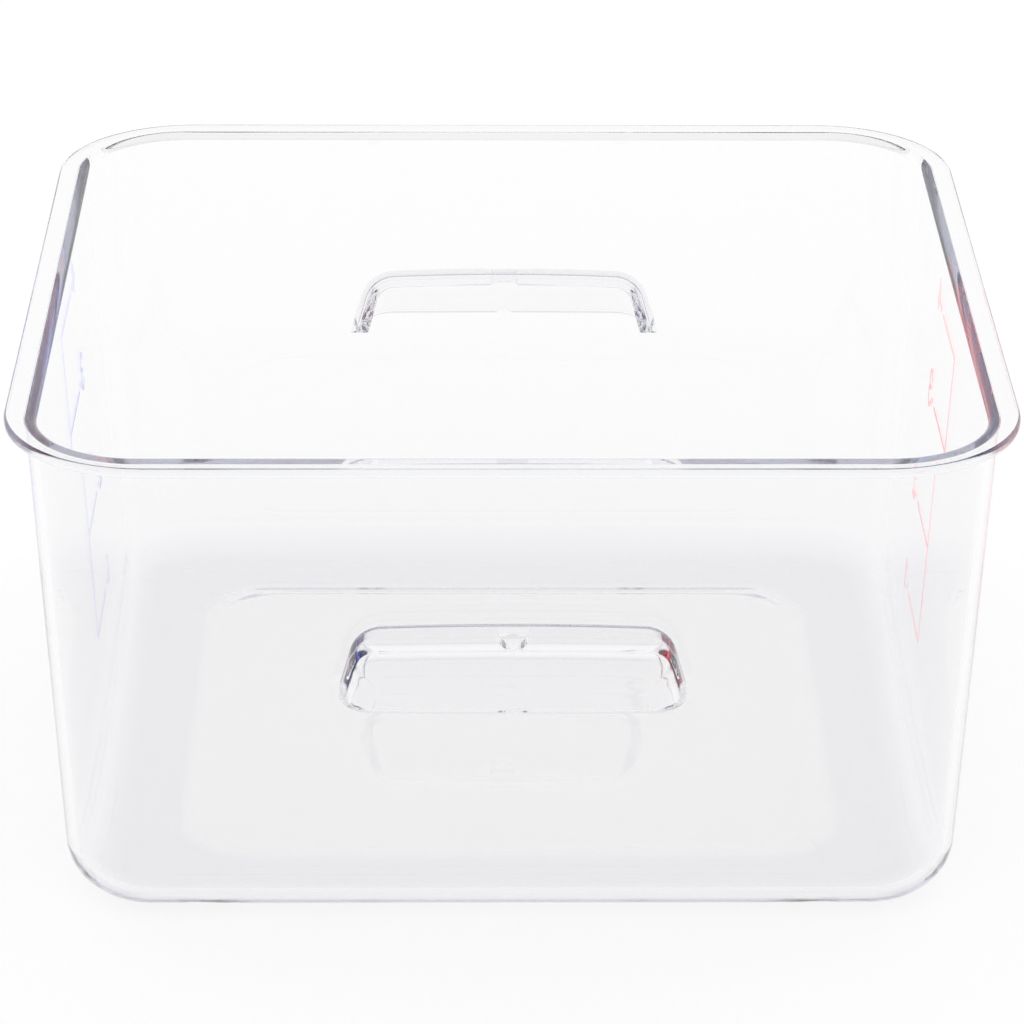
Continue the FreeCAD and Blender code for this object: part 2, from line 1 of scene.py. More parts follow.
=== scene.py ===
"""A clear four-quart food pan on a plain pale studio floor, laid out as an add-on.

Every length is in metres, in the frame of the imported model: +Z up, the pan's underside at z = 0, the
grips at +Y and -Y, and the printed scales at +X and -X. The pan is one moulding, worked out here as a
shell and two hoods that are united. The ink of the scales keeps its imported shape.
"""

import math

import bpy
import numpy as np
from mathutils import Euler, Matrix, Vector


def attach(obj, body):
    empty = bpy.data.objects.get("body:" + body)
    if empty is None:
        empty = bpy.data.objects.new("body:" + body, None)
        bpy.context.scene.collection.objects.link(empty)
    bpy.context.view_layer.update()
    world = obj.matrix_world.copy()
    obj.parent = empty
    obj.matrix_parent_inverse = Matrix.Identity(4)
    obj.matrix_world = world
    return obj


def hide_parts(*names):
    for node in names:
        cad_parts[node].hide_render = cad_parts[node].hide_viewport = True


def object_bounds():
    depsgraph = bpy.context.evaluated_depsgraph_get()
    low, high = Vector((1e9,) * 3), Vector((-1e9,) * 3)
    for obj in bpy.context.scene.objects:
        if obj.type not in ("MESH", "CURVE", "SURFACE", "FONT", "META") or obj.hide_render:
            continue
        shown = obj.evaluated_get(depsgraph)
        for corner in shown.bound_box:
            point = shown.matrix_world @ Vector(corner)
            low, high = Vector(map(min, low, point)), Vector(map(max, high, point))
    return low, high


bl_info = {
    "name": "Clear food pan",
    "version": (1, 0, 0),
    "blender": (4, 5, 0),
    "location": "View3D > Sidebar > Food Pan",
    "description": "Moulds a clear food pan and finishes its printed fill scales",
    "category": "Object",
}

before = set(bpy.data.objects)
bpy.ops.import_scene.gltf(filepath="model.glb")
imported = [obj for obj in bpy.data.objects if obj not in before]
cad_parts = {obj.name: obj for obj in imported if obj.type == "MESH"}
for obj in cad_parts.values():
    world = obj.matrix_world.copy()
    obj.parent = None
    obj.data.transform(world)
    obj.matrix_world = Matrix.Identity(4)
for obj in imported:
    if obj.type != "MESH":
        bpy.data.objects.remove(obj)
CAD_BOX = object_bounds()
MM = 0.001
FLOOR_GAP = 0.2 * MM  # keeps the studio floor just clear of the face the pan stands on
LONGEST_STEP = 3.5 * MM  # between neighbouring rings of the shell
CUT_REACH = 6 * MM  # how far the drain's cutter runs above and below the roof
DRAIN_POINTS = 25  # round the drain hole's outer end
SHARP_ANGLE = math.radians(35)  # edges that turn further than this stay sharp
FLOOR_SIDES = 64

# Rows and columns of a hood's surface, by what they lie on.
ROOT_ROWS, SIDE_ROWS, BEND_ROWS, FACE_ROWS, EDGE_ROWS = 9, 6, 10, 12, 7
LEG_COLUMNS, SHOULDER_COLUMNS, ROOF_COLUMNS = 10, 10, 24

FLARE_SPREAD = 4 / 3  # how far the root spreads along the wall, as a share of its depth

# Limits that keep a hood's roundings from folding over.
LEAST_ROUND = 1.0 * MM
LEAST_SHOULDER = 1.5 * MM
SHOULDER_ROOM = 0.98


def rim_half_depth():
    """Half the rim along Y: the pan's own box is longer there, because of the grips."""
    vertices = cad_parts["pan_body"].data.vertices
    points = np.empty(len(vertices) * 3, np.float32)
    vertices.foreach_get("co", points)
    points = points.reshape(-1, 3)
    near_top = points[:, 2] > CAD_BOX[1].z - MM
    return float(points[near_top, 1].max())


def length(name, description, millimetres):
    """A length property, from its default in millimetres."""
    return bpy.props.FloatProperty(
        name=name, description=description, default=millimetres * MM, unit="LENGTH", precision=5)


def angle(name, description, degrees):
    """An angle property, from its default in degrees."""
    return bpy.props.FloatProperty(
        name=name, description=description, default=math.radians(degrees), unit="ROTATION")


def colour(name, description, value):
    """A colour property, from its default as red, green and blue."""
    return bpy.props.FloatVectorProperty(
        name=name, description=description, default=value, min=0.0, max=1.0, subtype="COLOR")


class ShellSettings(bpy.types.PropertyGroup):
    """Sizes of the moulded shell."""

    half_width: length("Half width", "Middle to the rim's edge along X", CAD_BOX[1].x / MM)
    half_depth: length("Half depth", "Middle to the rim's edge along Y", rim_half_depth() / MM)
    height: length("Height", "Underside to the top of the rim", CAD_BOX[1].z / MM)
    draft: angle("Draft", "Lean of every wall", 2.72)
    wall: length("Wall", "Level thickness of the walls", 2.5)
    floor: length("Floor", "Thickness of the floor at its outer ring", 3.0)
    corner: length("Wall corner", "Outside corner radius at the top of the wall", 26.0)
    floor_round: length("Floor round", "Outside radius from wall to floor", 12.3)
    panel_half_width: length("Panel half width", "Raised middle of the floor, along X", 75.5)
    panel_half_depth: length("Panel half depth", "Raised middle of the floor, along Y", 68.7)
    panel_corner: length("Panel corner", "Corner radius of the raised middle", 17.0)
    panel_rise: length("Panel rise", "Step up on the inside", 0.6)
    panel_recess: length("Panel recess", "Hollow under the middle of the floor", 1.0)
    panel_slant: length("Panel slant", "Level run of the step round the panel", 5.0)
    panel_ease: length("Panel ease", "Radius at both ends of the step round the panel", 10.0)
    overhang: length("Overhang", "Flange beyond the top of the wall", 4.7)
    flange: length("Flange", "Thickness of the flange", 2.3)
    flange_corner: length("Flange corner", "Outside corner radius of the flange", 32.3)
    flange_round: length("Flange round", "Outer edges of the flange", 0.95)
    lip_round: length("Lip round", "Inner edge of the rim", 1.8)
    ease: length("Ease", "Smallest radius that the mould leaves", 0.45)


class HoodSettings(bpy.types.PropertyGroup):
    """Sizes of the two hooded grips."""

    edge_height: length("Edge height", "Free lower edge above the underside", 62.4)
    roof_height: length("Roof height", "Roof where it meets the wall", 76.6)
    crown: length("Crown", "Rise of the roof's middle over its shoulders", 1.1)
    roof_slope: angle("Roof slope", "Fall of the roof away from the wall", 10.0)
    reach: length("Reach", "Lower edge out from the wall", 15.5)
    taper: angle("Taper", "Lean of the hood's face and legs", 15.5)
    half_length: length("Half length", "Half length at the lower edge", 37.8)
    shoulder: length("Shoulder", "Radius from leg to roof", 7.0)
    leg_round: length("Leg round", "Radius from leg to face", 8.5)
    roof_round: length("Roof round", "Radius from roof to face", 6.5)
    thickness: length("Thickness", "Wall of the hood", 2.5)
    root: length("Root", "Depth over which the hood flares into the wall", 1.7)
    buried: length("Buried", "How far the hood's root runs into the wall", 0.8)
    bow: length("Bow", "How far the face's ends fall back from its middle", 0.7)
    edge_round: length("Edge round", "Depth of the rounding under the lower edge", 0.25)
    drain_width: length("Drain width", "Drain hole in the roof", 6.8)
    drain_near: length("Drain near end", "Hole's straight side, off the wall", 2.4)
    drain_far: length("Drain far end", "Hole's round end, off the wall at the lower edge", 7.6)
    notch_width: length("Notch width", "Notch in the middle of the lower edge", 3.5)
    notch_depth: length("Notch depth", "Notch up into the lower edge", 0.6)


class StageSettings(bpy.types.PropertyGroup):
    """Sizes and strengths of the studio."""

    floor_radius: length("Floor radius", "Radius of the round studio floor", 6000.0)
    floor_colour: colour("Floor colour", "Paint of the studio floor", (0.2, 0.2, 0.2))
    floor_glow: bpy.props.FloatProperty(
        name="Floor glow", description="Light that comes up through the floor", default=0.81, min=0.0)
    camera_distance: length("Camera distance", "From the middle of the pan to the camera", 1040.6)
    camera_elevation: angle("Camera elevation", "Height of the camera above the horizon", 25.382)
    camera_azimuth: angle("Camera azimuth", "Turn of the camera about the pan, from the front", -0.785)
    camera_roll: angle("Camera roll", "Turn of the camera about its own line of sight", 0.327)
    camera_aim: bpy.props.FloatVectorProperty(
        name="Camera aim", description="Where the camera points, from the middle of the pan",
        default=(0.97 * MM, 0.0, -1.4 * MM), subtype="TRANSLATION", unit="LENGTH", precision=5)
    lens: bpy.props.FloatProperty(
        name="Lens", description="Focal length on a 36 mm sensor", default=152.51, unit="CAMERA")
    surroundings: bpy.props.FloatProperty(
        name="Surroundings", description="Strength of the light from all round", default=1.02, min=0.0)
    bounces: bpy.props.IntProperty(
        name="Bounces", description="How often light in the plastic may turn", default=96, min=1)
    matt_bounces: bpy.props.IntProperty(
        name="Matt bounces", description="How often light may leave a matt face", default=6, min=1)


class PlasticSettings(bpy.types.PropertyGroup):
    """Optics of the clear plastic."""

    tint: colour("Tint", "What one face lets through", (0.974, 0.974, 0.978))
    # Painted shade: on the foot ring the plastic's tint is made darker where the pan stands on the floor.
    ring_tint_and_painted_shade: colour("Ring tint", "What one face lets through on the foot ring", (0.922, 0.919, 0.945))
    body_colour: colour("Body colour", "Colour that long paths take on", (0.4, 0.42, 0.6))
    density: bpy.props.FloatProperty(
        name="Density", description="How fast long paths darken, for each metre", default=2.0, min=0.0)
    refraction: bpy.props.FloatProperty(
        name="Refraction", description="Refractive index", default=1.585, min=1.0)


class InkSettings(bpy.types.PropertyGroup):
    """Colours of the printed scales."""

    quart: colour("Quart ink", "Ink of the quart scale", (0.9, 0.12, 0.18))
    litre: colour("Litre ink", "Ink of the litre scale", (0.2, 0.25, 0.75))


# --- meshes from grids ------------------------------------------------------------------------------

def grid_quads(index):
    """Faces between neighbours of an array of vertex numbers, rows by columns."""
    corners = (index[:-1, :-1], index[:-1, 1:], index[1:, 1:], index[1:, :-1])
    return np.stack(corners, axis=-1).reshape(-1, 4)


def signed_volume(points, faces):
    """Sum, over fans of triangles, of a sixth of the triple product of their corners."""
    total = 0.0
    for face in faces:
        for step in range(1, face.shape[1] - 1):
            a, b, c = (points[face[:, k]] for k in (0, step, step + 1))
            total += float(np.einsum("ij,ij->i", a, np.cross(b, c)).sum()) / 6
    return total


def closed_object(name, points, faces):
    """A mesh object from points and a list of face arrays, turned so that its faces point outwards."""
    if signed_volume(points, faces) < 0:
        faces = [face[:, ::-1] for face in faces]
    mesh = bpy.data.meshes.new(name)
    mesh.from_pydata(points.tolist(), [], [corners for face in faces for corners in face.tolist()])
    if mesh.validate():
        raise RuntimeError(name + " has faulty faces")
    made = bpy.data.objects.new(name, mesh)
    bpy.context.scene.collection.objects.link(made)
    return made


def eased_profile(corners, step_angle=math.radians(7.5)):
    """A line through (across, up) corners, each rounded to its radius by a circular arc that touches both
    of its runs: the arc's middle lies on the corner's bisector, radius / sin(half the corner) away."""
    pieces = [np.array([corners[0][:2]])]
    for before, (across, up, radius), after in zip(corners, corners[1:], corners[2:]):
        tip = np.array([across, up])
        back = np.array(before[:2]) - tip
        on = np.array(after[:2]) - tip
        back /= np.linalg.norm(back)
        on /= np.linalg.norm(on)
        opening = math.acos(float(back @ on))
        bisector = (back + on) / np.linalg.norm(back + on)
        middle = tip + bisector * radius / math.sin(opening / 2)
        first = tip + back * radius / math.tan(opening / 2) - middle
        last = tip + on * radius / math.tan(opening / 2) - middle
        turn = math.pi - opening
        share = np.linspace(0.0, 1.0, max(4, math.ceil(turn / step_angle) + 1))[:, None]
        spokes = np.sin((1 - share) * turn) * first + np.sin(share * turn) * last
        pieces.append(middle + spokes / math.sin(turn))
    pieces.append(np.array([corners[-1][:2]]))
    return np.concatenate(pieces)


def divided(line, longest):
    """The same line with its long runs cut into equal steps."""
    runs = np.linalg.norm(np.diff(line, axis=0), axis=1)
    counts = np.maximum(1, np.ceil(runs / longest)).astype(int)
    shares = np.concatenate([run + np.arange(count) / count for run, count in enumerate(counts)])
    shares = np.append(shares, len(runs))
    corners = np.arange(len(line))
    return np.column_stack([np.interp(shares, corners, line[:, k]) for k in range(line.shape[1])])


# --- the shell --------------------------------------------------------------------------------------

def nested_rectangles(inset, shell, straight=40, arc=18):
    """Rectangles with round corners, one row for each inset from the top of the wall. Half sizes and
    corner radius run straight between four known outlines: the flange's edge, the top of the wall, the
    start of the flat floor and the raised panel. Each then shrinks to the middle."""
    wall_width = shell.half_width - shell.overhang
    wall_depth = shell.half_depth - shell.overhang
    flat = math.tan(shell.draft) * shell.height + shell.floor_round
    known = np.array([
        (-shell.overhang, shell.half_width, shell.half_depth, shell.flange_corner),
        (0.0, wall_width, wall_depth, shell.corner),
        (flat, wall_width - flat, wall_depth - flat, shell.corner - flat),
        (wall_width - shell.panel_half_width, shell.panel_half_width, shell.panel_half_depth,
         shell.panel_corner),
        (wall_width, 0.0, 0.0, 0.0)])
    half_x, half_y, radius = (np.interp(inset, known[:, 0], known[:, k])[:, None] for k in (1, 2, 3))
    parts = []
    for quarter in range(4):
        turn = math.pi / 2 * (quarter + np.linspace(0.0, 1.0, arc + 1))[None, :]
        signs = [(1, 1), (-1, 1), (-1, -1), (1, -1), (1, 1)]
        (here_x, here_y), (next_x, next_y) = signs[quarter:quarter + 2]
        corner_x = here_x * (half_x - radius) + radius * np.cos(turn)
        corner_y = here_y * (half_y - radius) + radius * np.sin(turn)
        start_x = next_x * (half_x - radius) + radius * np.cos(turn[:, -1:])
        start_y = next_y * (half_y - radius) + radius * np.sin(turn[:, -1:])
        share = (np.arange(1, straight) / straight)[None, :]
        side_x = corner_x[:, -1:] + share * (start_x - corner_x[:, -1:])
        side_y = corner_y[:, -1:] + share * (start_y - corner_y[:, -1:])
        parts.append(np.stack([np.hstack([corner_x, side_x]), np.hstack([corner_y, side_y])], axis=-1))
    return np.concatenate(parts, axis=1)


def shell_profile(shell):
    """Inset and height round the wall's cut face: from the middle of the underside out, up the outside,
    over the rim, down the inside and back to the middle of the floor."""
    lean = math.tan(shell.draft)
    middle = shell.half_width - shell.overhang
    panel = middle - shell.panel_half_width
    under_flange = shell.height - shell.flange
    inside_floor = shell.floor
    corners = [
        (middle, shell.panel_recess, 0.0),
        (panel + shell.panel_slant / 2, shell.panel_recess, shell.panel_ease),
        (panel - shell.panel_slant / 2, 0.0, shell.panel_ease),
        (lean * shell.height, 0.0, shell.floor_round),
        (lean * shell.flange, under_flange, shell.ease),
        (-shell.overhang, under_flange, shell.flange_round),
        (-shell.overhang, shell.height, shell.flange_round),
        (shell.wall, shell.height, shell.lip_round),
        (shell.wall + lean * (shell.height - inside_floor), inside_floor, shell.floor_round - shell.wall),
        (panel - shell.panel_slant / 2, inside_floor, shell.panel_ease),
        (panel + shell.panel_slant / 2, inside_floor + shell.panel_rise, shell.panel_ease),
        (middle, inside_floor + shell.panel_rise, 0.0)]
    return divided(eased_profile(corners), LONGEST_STEP)


def make_shell(shell):
    """The open box: the profile carried round the nested rectangles, shut at its two ends by one point
    each. P(around, along) = (rectangle at inset(along), height(along))."""
    profile = shell_profile(shell)
    inner = profile[1:-1]
    plan = nested_rectangles(inner[:, 0], shell)
    height = np.broadcast_to(inner[:, 1][:, None, None], plan.shape[:2] + (1,))
    rings = np.concatenate([plan, height], axis=-1)
    rows, columns = rings.shape[:2]
    poles = np.array([(0.0, 0.0, profile[0, 1]), (0.0, 0.0, profile[-1, 1])])
    points = np.concatenate([rings.reshape(-1, 3), poles])
    index = np.arange(rows * columns).reshape(rows, columns)
    index = np.hstack([index, index[:, :1]])
    first, last = index[0], index[-1]
    under = np.full(columns, rows * columns)
    fans = [np.column_stack([first[1:], first[:-1], under]),
            np.column_stack([last[:-1], last[1:], under + 1])]
    return closed_object("shell", points, [grid_quads(index), *fans])


# --- a hooded grip ----------------------------------------------------------------------------------

def arch_columns():
    """What each column of a hood's arch is: its kind, its share along a straight run, how far it belongs
    to the roof, from 0 on the legs to 1, and its side."""
    rise = np.linspace(0, 1, LEG_COLUMNS + 1)[:-1]
    bend = np.linspace(0, 1, SHOULDER_COLUMNS + 1)
    along = np.linspace(0, 1, ROOF_COLUMNS + 1)[1:-1]
    runs = (rise, bend, along, bend, rise)
    kind = np.repeat(["leg", "shoulder", "roof", "shoulder", "leg"], [len(run) for run in runs])
    none = np.zeros_like
    share = np.concatenate([rise, none(bend), along, none(bend), rise[::-1]])
    on_roof = np.concatenate([none(rise), bend, np.ones_like(along), bend[::-1], none(rise)])
    side = np.where(np.arange(len(kind)) < len(kind) / 2, 1.0, -1.0)
    return kind, share, on_roof, side


def hood_rows(hood, inset, root, on_roof, tall):
    """Each row's distance out from the wall and how far it is nested within the outermost arch.

    The first rows stand out from the wall and flare at it, by the square of what is left of the root's
    depth. The next run straight out and turn through a quarter circle on to the face, and the last ones
    shrink on the face to a line along the lower edge."""
    reach = hood.reach - inset
    leg_round, roof_round = (max(size - inset, LEAST_ROUND) for size in (hood.leg_round, hood.roof_round))
    round_here = leg_round + (roof_round - leg_round) * on_roof
    near = np.linspace(-hood.buried, root, ROOT_ROWS)[:, None] * np.ones_like(on_roof)
    straight = np.linspace(0, 1, SIDE_ROWS + 1)[1:, None]
    sides = root + straight * (reach - round_here - root)
    quarter = np.linspace(0, math.pi / 2, BEND_ROWS + 1)[1:, None]
    turned = reach - round_here * (1 - np.sin(quarter))
    shrink = np.linspace(0, 1, FACE_ROWS + 1)[1:, None]
    flare = FLARE_SPREAD * (root - near) ** 2 / root if root else np.zeros_like(near)
    left = tall - math.tan(hood.roof_slope) * reach - round_here
    out = np.concatenate([near, sides, turned, np.full((FACE_ROWS, len(on_roof)), reach)])
    rounding = round_here * (1 - np.cos(quarter))
    nest = np.concatenate([-flare, np.zeros_like(sides), rounding, round_here + shrink * left])
    return out, nest


def hood_sheet(hood, inset, root):
    """One face of a hood, as (x, out from the wall, height) by rows and columns. Each row is an arch: up
    one leg, which leans in by the taper, round a shoulder, along the roof and down the other leg. The
    face leans back, so the distance out is scaled by height, and the roof falls with the distance out."""
    sine, cosine = math.sin(hood.taper), math.cos(hood.taper)
    tall = hood.roof_height - hood.edge_height - inset / math.cos(hood.roof_slope)
    kind, share, on_roof, side = arch_columns()
    out, nest = hood_rows(hood, inset, root, on_roof, tall)

    wide = hood.half_length - inset / cosine - nest
    height = tall - nest - math.tan(hood.roof_slope) * out
    room = height / (1 - sine) * SHOULDER_ROOM
    radius = np.minimum(np.maximum(hood.shoulder - inset - nest, LEAST_SHOULDER), room)
    centre_up = height - radius
    centre_in = (radius + centre_up * sine) / cosine - wide
    swing = hood.taper + (math.pi / 2 - hood.taper) * on_roof
    arc_in = centre_in - radius * np.cos(swing)
    arc_up = centre_up + radius * np.sin(swing)

    across = np.where(kind == "leg", share * (arc_in + wide) - wide, arc_in) * side
    across = np.where(kind == "roof", centre_in * (1 - 2 * share), across)
    up = np.where(kind == "leg", share * arc_up, arc_up)
    lean_back = 1 - (math.tan(hood.taper) / hood.reach) * np.clip(up, 0, None)
    off_middle = (across / hood.half_length) ** 2
    bowed = 1 - (hood.bow / hood.reach) * off_middle
    out = np.where(out > 0, out * lean_back * bowed, out)
    up = up + hood.crown * np.clip(up / tall, 0, 1) ** 2 * (1 - off_middle)
    return np.stack([across, out, up], axis=-1)


def wall_at_lower_edge(hood, shell):
    """The front wall's outer face at the hoods' lower edge, from the middle."""
    return shell.half_depth - shell.overhang - math.tan(shell.draft) * (shell.height - hood.edge_height)


def make_hood(hood, shell, side):
    """A hood: an outer and an inner sheet, joined along the root inside the wall and along the free edge.
    At a share s of the way from sheet to sheet the edge sags by its rounding times 1 - (2s - 1)^4."""
    outer = hood_sheet(hood, 0.0, hood.root)
    inner = hood_sheet(hood, hood.thickness, 0.0)
    rows, columns = outer.shape[:2]
    index = np.arange(rows * columns).reshape(rows, columns)
    inner_index = index + rows * columns
    path = np.concatenate([index[:-1, 0], index[-1], index[-2::-1, -1]])

    share = np.linspace(0, 1, EDGE_ROWS + 2)[1:-1, None, None]
    from_outer, to_inner = outer.reshape(-1, 3)[path], inner.reshape(-1, 3)[path]
    edge = from_outer + (to_inner - from_outer) * share
    edge[:, :, 2] -= hood.edge_round * (1 - (2 * share[:, :, 0] - 1) ** 4)
    edge_index = np.arange(edge.shape[0] * edge.shape[1]).reshape(edge.shape[:2]) + 2 * rows * columns
    strip = np.vstack([path, edge_index, path + rows * columns])
    root = np.vstack([index[0], inner_index[0]])
    ends = [strip[::-1, 0][None, :], strip[:, -1][None, :]]
    faces = [grid_quads(index)[:, ::-1], grid_quads(inner_index), grid_quads(strip)[:, ::-1],
             grid_quads(root), *ends]

    across, out, up = np.concatenate([part.reshape(-1, 3) for part in (outer, inner, edge)]).T
    out = wall_at_lower_edge(hood, shell) + out + math.tan(shell.draft) * up
    placed = np.column_stack([across * side, out * side, hood.edge_height + hood.edge_round + up])
    return closed_object("hood", placed, faces)


def make_block(name, outline, low, high):
    """An upright prism on a level outline."""
    count = len(outline)
    rings = [np.column_stack([outline, np.full(count, level)]) for level in (low, high)]
    index = np.arange(2 * count).reshape(2, count)
    index = np.hstack([index, index[:, :1]])
    caps = [np.arange(count)[None, ::-1], np.arange(count, 2 * count)[None, :]]
    return closed_object(name, np.concatenate(rings), [grid_quads(index), *caps])


def make_hood_cuts(hood, shell, side):
    """The drain hole through the roof, round at its outer end, and the notch in the lower edge."""
    wall = wall_at_lower_edge(hood, shell)
    half = hood.drain_width / 2
    near = wall + math.tan(shell.draft) * (hood.roof_height - hood.edge_height) + hood.drain_near
    centre = wall + hood.drain_far - half
    turn = np.linspace(0, math.pi, DRAIN_POINTS)
    across = np.append(half * np.cos(turn), (-half, half))
    out = np.append(centre + half * np.sin(turn), (near, near))
    hole = np.column_stack([across, out * side])
    drain = make_block("drain", hole, hood.roof_height - CUT_REACH, hood.roof_height + CUT_REACH)
    half = hood.notch_width / 2
    inside = wall + hood.reach - 2 * hood.thickness
    outside = wall + hood.reach + 2 * hood.thickness
    square = np.array([(-half, inside), (half, inside), (half, outside), (-half, outside)]) * (1, side)
    notch = make_block("notch", square, hood.edge_height - MM, hood.edge_height + hood.notch_depth)
    return [drain, notch]


def combine(base, operation, tools):
    """Applies one boolean after another to base, and removes the tools."""
    for tool in tools:
        modifier = base.modifiers.new(tool.name, "BOOLEAN")
        modifier.operation = operation
        modifier.solver = "MANIFOLD"
        modifier.object = tool
        apply_modifiers(base)
        bpy.data.objects.remove(tool)


def apply_modifiers(thing):
    """Bakes an object's modifiers into its mesh."""
    graph = bpy.context.evaluated_depsgraph_get()
    graph.update()
    made = bpy.data.meshes.new_from_object(
        thing.evaluated_get(graph), preserve_all_data_layers=True, depsgraph=graph)
    if not made.vertices:
        raise RuntimeError(thing.name + " came out empty")
    thing.modifiers.clear()
    old = thing.data
    thing.data = made
    bpy.data.meshes.remove(old)


def shade(thing):
    """Smooth faces with sharp corners kept, and normals that lie with the larger faces."""
    thing.data.shade_smooth()
    thing.data.set_sharp_from_angle(angle=SHARP_ANGLE)
    weighted = thing.modifiers.new("normals", "WEIGHTED_NORMAL")
    weighted.mode = "FACE_AREA"
    weighted.keep_sharp = True
    weighted.weight = 50
    apply_modifiers(thing)


# --- finishes ---------------------------------------------------------------------------------------

RING_EDGE = (-1.0 * MM, 3.0 * MM)  # from the panel's edge: where the ring's painted shade starts and is full

# Haze: noise scale, the level below which there is none, and roughness for each unit above that.
HAZE_SCALE, HAZE_LEVEL, HAZE_ROUGHNESS = 45.0, 0.55, 0.1
# Wipe marks: directions in radians, noise scale and stretch, the level they start at, and roughness.
MARK_TURNS = (0.5, 2.1)
MARK_SCALE, MARK_STRETCH, MARK_LEVEL, MARK_ROUGHNESS = 60.0, 28.0, 0.7, 0.08

INK_GRAINS = ((1500.0, 0.5), (160.0, 0.7))  # noise scale and depth: grains, then rubbed patches
INK_PALER = 0.5  # how far the thinnest ink goes towards white
INK_CONTRAST = 2.0
INK_DULLEST, INK_SHEEN = 0.65, 0.4  # roughness where there is no ink, and its fall to full cover
INK_GLOW = 0.5  # stands in for the light that comes through the ink

def new_material(name):
    """An empty node material: the material, its tree and its Principled shader."""
    material = bpy.data.materials.new(name)
    material.use_nodes = True
    tree = material.node_tree
    tree.nodes.clear()
    shader = tree.nodes.new("ShaderNodeBsdfPrincipled")
    output = tree.nodes.new("ShaderNodeOutputMaterial")
    tree.links.new(shader.outputs["BSDF"], output.inputs["Surface"])
    return material, tree, shader


def floor_material(stage):
    """Pale matt paint, lit from below."""
    material, _, shader = new_material("studio_floor")
    shader.inputs["Base Color"].default_value = (*stage.floor_colour, 1.0)
    shader.inputs["Roughness"].default_value = 0.8
    shader.inputs["Emission Color"].default_value = (1.0, 1.0, 1.0, 1.0)
    shader.inputs["Emission Strength"].default_value = stage.floor_glow
    return material


def node_group(name, inputs, outputs):
    """An empty group with its sockets: (name, type) pairs. Returns it with its two end nodes."""
    group = bpy.data.node_groups.new(name, "ShaderNodeTree")
    for side, sockets in (("INPUT", inputs), ("OUTPUT", outputs)):
        for socket, kind in sockets:
            group.interface.new_socket(socket, in_out=side, socket_type="NodeSocket" + kind)
    return group, group.nodes.new("NodeGroupInput"), group.nodes.new("NodeGroupOutput")


def value_step(group, operation, first, second):
    """A maths node: each operand is an output of another node or a number."""
    node = group.nodes.new("ShaderNodeMath")
    node.operation = operation
    for socket, operand in zip(node.inputs, (first, second)):
        if isinstance(operand, bpy.types.NodeSocket):
            group.links.new(operand, socket)
        else:
            socket.default_value = operand
    return node.outputs[0]


def soft_step(group, value, start, end):
    """0 at start and 1 at end, with a smooth run between. Start is a number or an output."""
    ramp = group.nodes.new("ShaderNodeMapRange")
    ramp.interpolation_type = "SMOOTHSTEP"
    group.links.new(value, ramp.inputs["Value"])
    if isinstance(start, bpy.types.NodeSocket):
        group.links.new(start, ramp.inputs["From Min"])
    else:
        ramp.inputs["From Min"].default_value = start
    ramp.inputs["From Max"].default_value = end
    return ramp.outputs["Result"]


def ring_shade_mask_group():
    """Where the painted shade goes: 1 on the ring of floor that the pan stands on and 0 on the raised panel
    and the walls, by the distance from a rectangle with round corners: length(max(|p| - (half size -
    corner), 0)) - corner."""
    inputs = (("Vector", "Vector"), ("Half size", "Vector"), ("Corner", "Float"), ("Top", "Float"))
    group, start, end = node_group("ring_shade_mask", inputs, (("Mask", "Float"),))
    point = group.nodes.new("ShaderNodeSeparateXYZ")
    half = group.nodes.new("ShaderNodeSeparateXYZ")
    group.links.new(start.outputs["Vector"], point.inputs[0])
    group.links.new(start.outputs["Half size"], half.inputs[0])
    beyond = []
    for axis in ("X", "Y"):
        straight = value_step(group, "SUBTRACT", half.outputs[axis], start.outputs["Corner"])
        off = value_step(group, "ABSOLUTE", point.outputs[axis], 0.0)
        off = value_step(group, "SUBTRACT", off, straight)
        off = value_step(group, "MAXIMUM", off, 0.0)
        beyond.append(value_step(group, "MULTIPLY", off, off))
    reach = value_step(group, "SQRT", value_step(group, "ADD", *beyond), 0.0)
    outside = value_step(group, "SUBTRACT", reach, start.outputs["Corner"])
    over_edge = soft_step(group, outside, *RING_EDGE)
    low_down = soft_step(group, point.outputs["Z"], start.outputs["Top"], 0.0)
    group.links.new(value_step(group, "MULTIPLY", over_edge, low_down), end.inputs["Mask"])
    return group


def scratches_group():
    """Roughness of washed plastic: a faint haze that comes and goes, crossed by fine wipe marks."""
    group, start, end = node_group("scratches", (("Vector", "Vector"),), (("Roughness", "Float"),))
    haze = group.nodes.new("ShaderNodeTexNoise")
    haze.inputs["Scale"].default_value = HAZE_SCALE
    group.links.new(start.outputs["Vector"], haze.inputs["Vector"])
    cloud = value_step(group, "SUBTRACT", haze.outputs["Fac"], HAZE_LEVEL)
    cloud = value_step(group, "MAXIMUM", cloud, 0.0)
    total = value_step(group, "MULTIPLY", cloud, HAZE_ROUGHNESS)
    for turn in MARK_TURNS:
        stretch = group.nodes.new("ShaderNodeMapping")
        stretch.inputs["Rotation"].default_value = (turn, turn / 2, turn)
        stretch.inputs["Scale"].default_value = (1.0, MARK_STRETCH, MARK_STRETCH)
        marks = group.nodes.new("ShaderNodeTexNoise")
        marks.inputs["Scale"].default_value = MARK_SCALE
        group.links.new(start.outputs["Vector"], stretch.inputs["Vector"])
        group.links.new(stretch.outputs["Vector"], marks.inputs["Vector"])
        peak = value_step(group, "GREATER_THAN", marks.outputs["Fac"], MARK_LEVEL)
        total = value_step(group, "ADD", total, value_step(group, "MULTIPLY", peak, MARK_ROUGHNESS))
    group.links.new(total, end.inputs["Roughness"])
    return group


